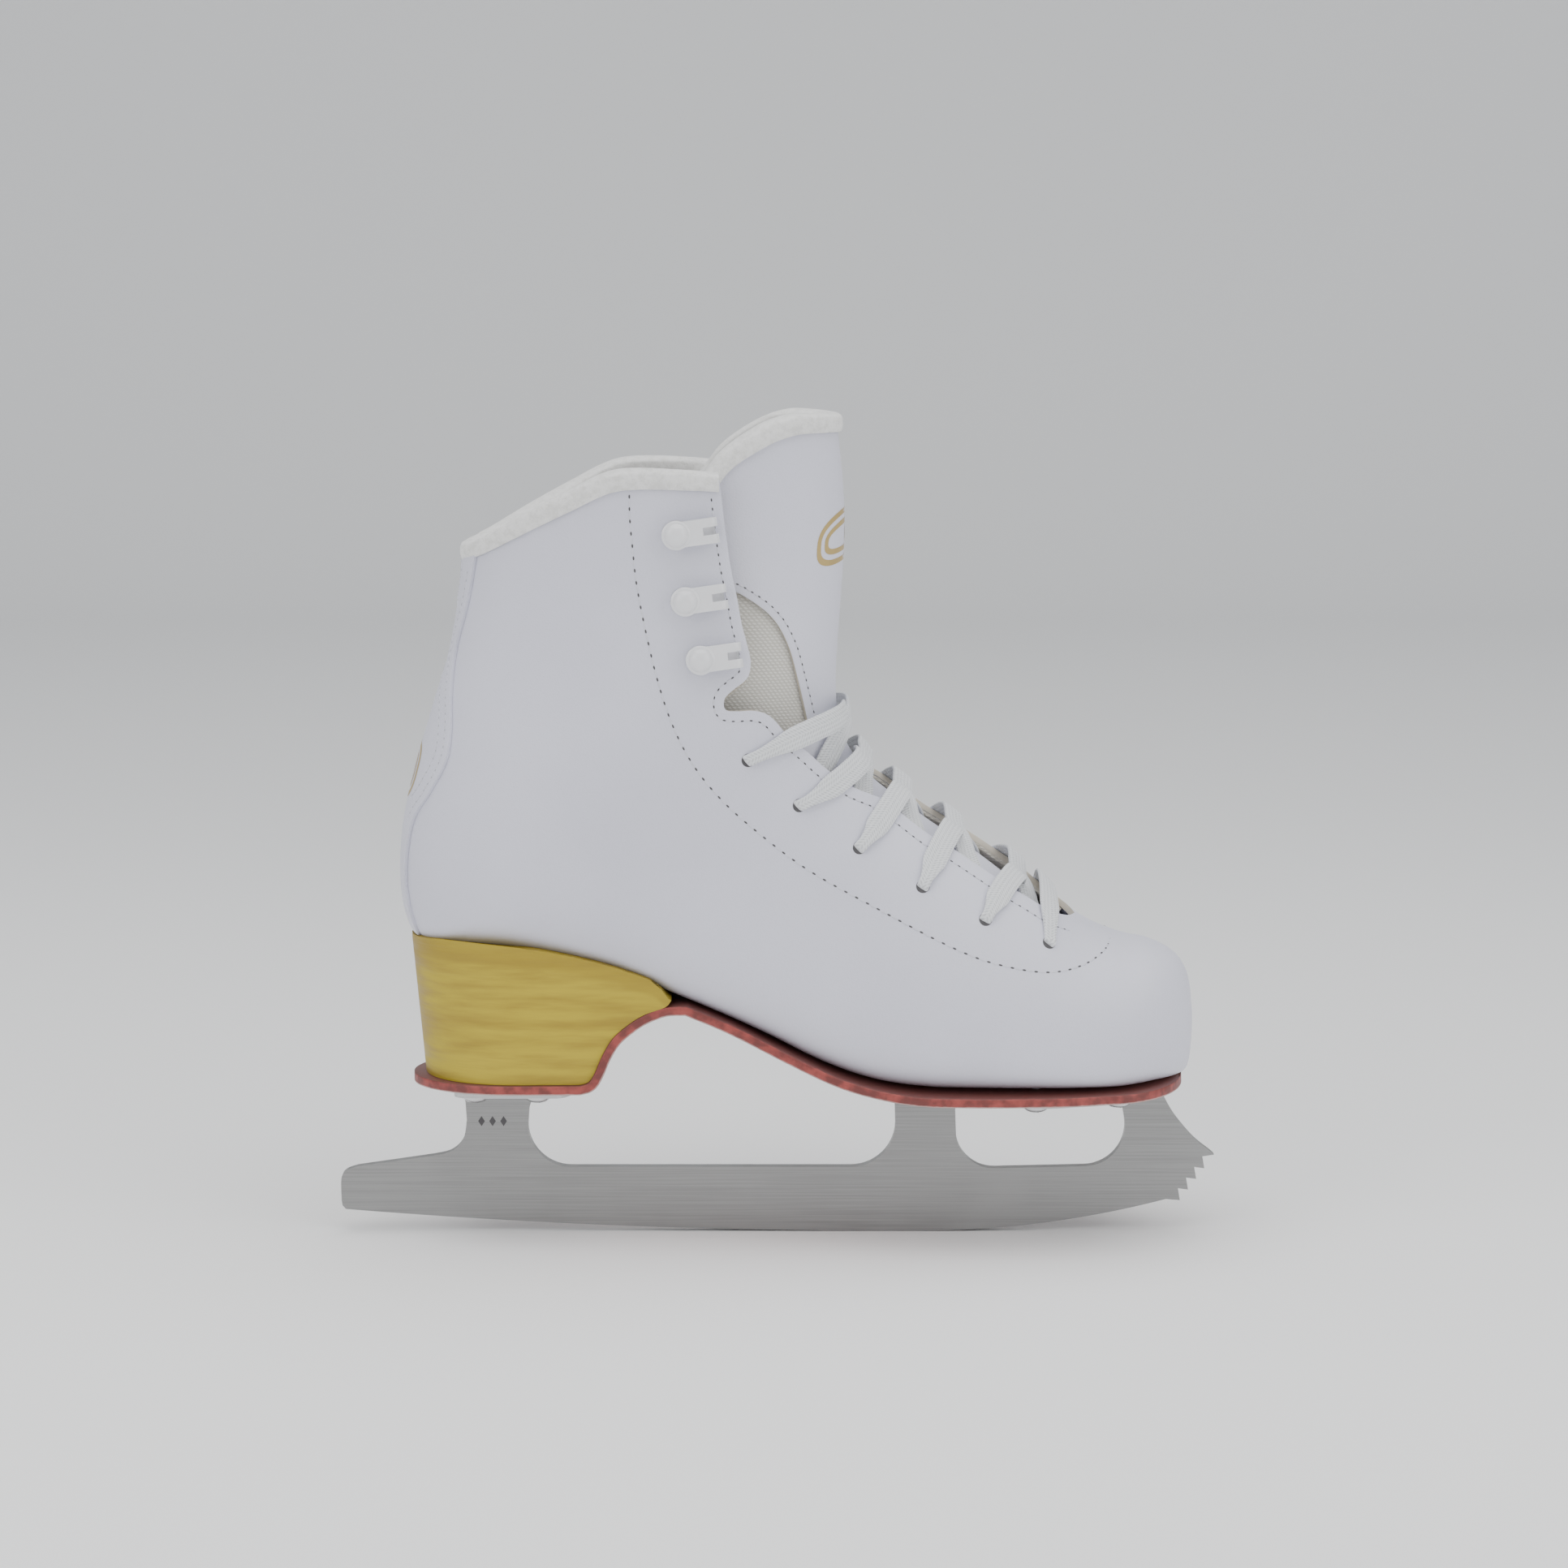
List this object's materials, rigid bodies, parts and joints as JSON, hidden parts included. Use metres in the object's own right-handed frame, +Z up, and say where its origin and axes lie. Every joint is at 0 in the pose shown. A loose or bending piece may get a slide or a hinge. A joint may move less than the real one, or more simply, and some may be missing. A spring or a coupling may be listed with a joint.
{
  "type": "figure skate",
  "caption": "Right-foot figure skate: a white laced leather boot with lace hooks, a shaped heel and a red outsole, on a steel blade with toe picks.",
  "frame": {"origin": "centre of the bounding box seen from above, at the lowest point of the blade's running edge, with the blade's mid-plane on Y 0", "axes": "+X towards the toe, +Y towards the inner side of the foot, +Z up"},
  "size_m": [0.2852, 0.0849, 0.2668],
  "materials": {
    "upper_leather": "smooth coated white leather, satin",
    "tongue_leather": "smooth coated white leather, satin",
    "facing_stay": "woven beige reinforcing tape, matt",
    "stiffener": "pressed fibreboard",
    "foam": "open-cell foam",
    "lining": "brushed textile, matt",
    "plush_binding": "soft off-white plush tape",
    "mesh_padding": "grey-beige open mesh over foam",
    "hook_enamel": "glossy white enamel",
    "rivet": "plain",
    "outsole": "brick red, satin",
    "heel": "stacked heel painted dull gold, satin",
    "shank_steel": "plain strip",
    "insole_board": "leatherboard, matt",
    "footbed": "textile over thin foam",
    "plate_steel": "satin plated",
    "blade_steel": "ground lengthwise, satin",
    "screw": "bright plated",
    "lace": "flat ribbed weave",
    "lace_tip": "clear-white film"
  },
  "bodies": {
    "boot": {"ankle_pad_inner": "foam", "ankle_pad_outer": "foam", "back_stay": "upper_leather", "blade_runner": "blade_steel", "collar_binding": "plush_binding", "facing_stay_inner": "facing_stay", "facing_stay_outer": "facing_stay", "footbed": "footbed", "front_plate": "plate_steel", "front_plate_screw_1": "screw", "front_plate_screw_2": "screw", "front_plate_screw_3": "screw", "front_plate_screw_4": "screw", "front_plate_screw_5": "screw", "front_plate_screw_6": "screw", "heel_block": "heel", "heel_counter": "stiffener", "heel_plate": "plate_steel", "heel_plate_screw_1": "screw", "heel_plate_screw_2": "screw", "heel_plate_screw_3": "screw", "heel_plate_screw_4": "screw", "hook_inner_1": "hook_enamel", "hook_inner_2": "hook_enamel", "hook_inner_3": "hook_enamel", "hook_outer_1": "hook_enamel", "hook_outer_2": "hook_enamel", "hook_outer_3": "hook_enamel", "hook_rivet_inner_1": "rivet", "hook_rivet_inner_2": "rivet", "hook_rivet_inner_3": "rivet", "hook_rivet_outer_1": "rivet", "hook_rivet_outer_2": "rivet", "hook_rivet_outer_3": "rivet", "insole_board": "insole_board", "lace": "lace", "lace_tip_inner": "lace_tip", "lace_tip_outer": "lace_tip", "lining_inner": "lining", "lining_outer": "lining", "outsole": "outsole", "steel_shank": "shank_steel", "toe_puff": "stiffener", "tongue_lower_leather": "tongue_leather", "tongue_lower_pad": "mesh_padding", "upper_inner": "upper_leather", "upper_outer": "upper_leather"},
    "tongue_top": {"tongue_upper_leather": "tongue_leather", "tongue_upper_pad": "mesh_padding", "tongue_binding": "plush_binding"}
  },
  "joints": [
    {"name": "tongue_fold", "type": "hinge", "parent": "boot", "child": "tongue_top", "pos_m": [0.0205, 0, 0.1815], "axis": [0, 1, 0], "range_deg": [0, 40], "stiffness_Nm_per_rad": 0.4}
  ]
}
